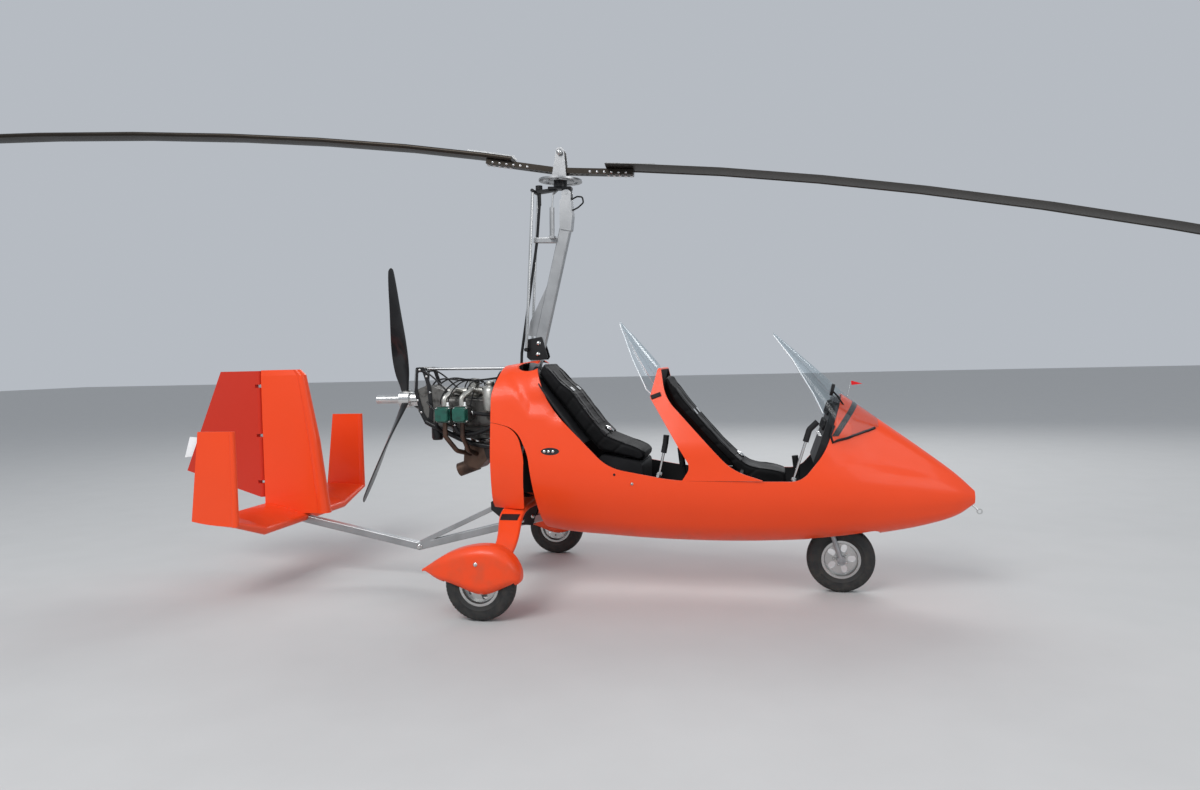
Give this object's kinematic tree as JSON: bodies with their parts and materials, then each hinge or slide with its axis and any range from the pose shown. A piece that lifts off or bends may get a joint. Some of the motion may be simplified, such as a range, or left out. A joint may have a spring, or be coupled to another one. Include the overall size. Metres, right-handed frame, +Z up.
{
  "type": "tandem two-seat gyrocopter",
  "caption": "Open tandem gyrocopter parked on its wheels, with teetering rotor, pusher propeller, steered nose wheel and hinged rudder.",
  "frame": {"origin": "on the ground under the rotor's teeter bolt, midway between the wheels' sides", "axes": "+X forward along the pod, +Y to the left, +Z up"},
  "size_m": [8.328, 1.812, 3.0761],
  "materials": {
    "lamp_dark": "dark lamp lens",
    "intake_pale": "pale cast alloy",
    "orange_gloss": "gloss gelcoat over glass fibre",
    "rudder_red": "gloss gelcoat, a darker red orange",
    "clear_screen": "clear blown sheet",
    "seat_black": "soft black seat cover",
    "panel_black": "matt black moulding",
    "bare_aluminium": "brushed and clear anodised",
    "blade_grey": "dark anodised extrusion",
    "prop_black": "satin black composite",
    "polished_steel": "bright turned metal",
    "engine_cast": "dark cast alloy",
    "rocker_green": "green stove enamel",
    "hot_steel": "heat browned sheet steel",
    "mount_black": "black powder coat",
    "tyre_black": "black rubber",
    "rim_silver": "machined cast alloy",
    "fork_steel": "silver grey paint",
    "tab_white": "white painted plate"
  },
  "bodies": {
    "airframe": {"air_filters": "panel_black", "body_shell": "orange_gloss", "bulkhead": "panel_black", "control_rods": "polished_steel", "crankcase": "engine_cast", "cylinders": "engine_cast", "engine_intakes": "intake_pale", "engine_mount": "mount_black", "fin": "orange_gloss", "firewall": "bare_aluminium", "frame_plates": "bare_aluminium", "gear_bow": "orange_gloss", "gearbox": "engine_cast", "gimbal_head": "bare_aluminium", "hand_grips": "panel_black", "head_hose": "panel_black", "instrument_panel": "panel_black", "keel_beam": "bare_aluminium", "keel_strut": "bare_aluminium", "lever_bars": "polished_steel", "mast": "bare_aluminium", "mast_brackets": "mount_black", "mast_head": "bare_aluminium", "mirror": "panel_black", "muffler": "hot_steel", "nose_mount": "mount_black", "prerotator": "mount_black", "quarter_panel_left": "orange_gloss", "quarter_panel_right": "orange_gloss", "rocker_covers": "rocker_green", "rudder_hinges": "polished_steel", "seat_fairing": "orange_gloss", "seat_front": "seat_black", "seat_pans": "panel_black", "seat_rear": "seat_black", "side_lamps": "lamp_dark", "stabilizer": "orange_gloss", "tow_eye": "polished_steel", "trim_cylinder": "bare_aluminium", "wheel_fairing_left": "orange_gloss", "wheel_fairing_right": "orange_gloss", "windscreen_front": "clear_screen", "windscreen_rear": "clear_screen"},
    "rotor_hub": {"rotor_tower": "bare_aluminium"},
    "rotor": {"hub_bar": "bare_aluminium", "rotor_blade_front": "blade_grey", "rotor_blade_rear": "blade_grey"},
    "propeller": {"prop_hub": "polished_steel", "prop_blade_1": "prop_black", "prop_blade_2": "prop_black", "prop_blade_3": "prop_black"},
    "main_wheel_left": {"main_tyre_left": "tyre_black", "main_rim_left": "rim_silver"},
    "main_wheel_right": {"main_tyre_right": "tyre_black", "main_rim_right": "rim_silver"},
    "nose_leg": {"nose_fork": "fork_steel"},
    "nose_wheel": {"nose_tyre": "tyre_black", "nose_rim": "rim_silver"},
    "rudder_leaf": {"rudder": "rudder_red", "rudder_tab": "tab_white"}
  },
  "joints": [
    {"name": "rotor_spin", "type": "hinge", "parent": "airframe", "child": "rotor_hub", "pos_m": [-0.018, 0, 2.722], "axis": [0.0523, 0, 0.9986], "continuous": true},
    {"name": "rotor_teeter", "type": "hinge", "parent": "rotor_hub", "child": "rotor", "pos_m": [-0.018, 0, 2.722], "axis": [-0.0697, 0.9976, 0.0037], "range_deg": [-11.9, 3.1]},
    {"name": "propeller_spin", "type": "hinge", "parent": "airframe", "child": "propeller", "pos_m": [-1.115, 0, 1.196], "axis": [1, 0, 0], "continuous": true},
    {"name": "main_wheel_left_spin", "type": "hinge", "parent": "airframe", "child": "main_wheel_left", "pos_m": [-0.33, 0.82, 0.2], "axis": [0, 1, 0], "continuous": true},
    {"name": "main_wheel_right_spin", "type": "hinge", "parent": "airframe", "child": "main_wheel_right", "pos_m": [-0.33, -0.82, 0.2], "axis": [0, 1, 0], "continuous": true},
    {"name": "nose_steer", "type": "hinge", "parent": "airframe", "child": "nose_leg", "pos_m": [1.647, 0, 0.2], "axis": [-0.304, 0, 0.9527], "range_deg": [-30, 30]},
    {"name": "nose_wheel_spin", "type": "hinge", "parent": "nose_leg", "child": "nose_wheel", "pos_m": [1.647, 0, 0.2], "axis": [0, 1, 0], "continuous": true},
    {"name": "rudder_turn", "type": "hinge", "parent": "airframe", "child": "rudder_leaf", "pos_m": [-2.205, 0, 0.9], "axis": [0, 0, 1], "range_deg": [-19, 41]}
  ]
}
